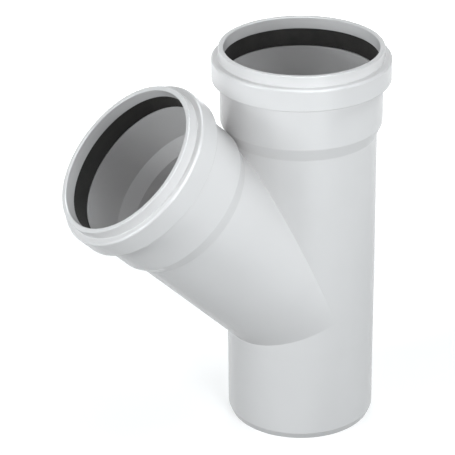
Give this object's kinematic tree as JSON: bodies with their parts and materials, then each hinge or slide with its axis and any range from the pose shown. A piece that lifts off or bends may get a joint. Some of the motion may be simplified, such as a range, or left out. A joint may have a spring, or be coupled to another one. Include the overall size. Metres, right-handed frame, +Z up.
{
  "type": "lateral wye fitting",
  "caption": "Push-fit drain pipe fitting with a straight run, a plain spigot end and an angled branch; each socket has a bead with a rubber lip seal inside.",
  "frame": {"origin": "centre of the spigot's end face, on the centre line of the run", "axes": "+Z up the run from the spigot end to the run socket; the branch leans from +Z towards -X, so the X-Z plane is the plane of symmetry"},
  "size_m": [0.2487, 0.1304, 0.296],
  "materials": {
    "moulded_plastic": "satin",
    "seal_rubber": "matte"
  },
  "bodies": {
    "root": {"fitting_body": "moulded_plastic", "run_seal": "seal_rubber", "branch_seal": "seal_rubber"}
  },
  "joints": []
}
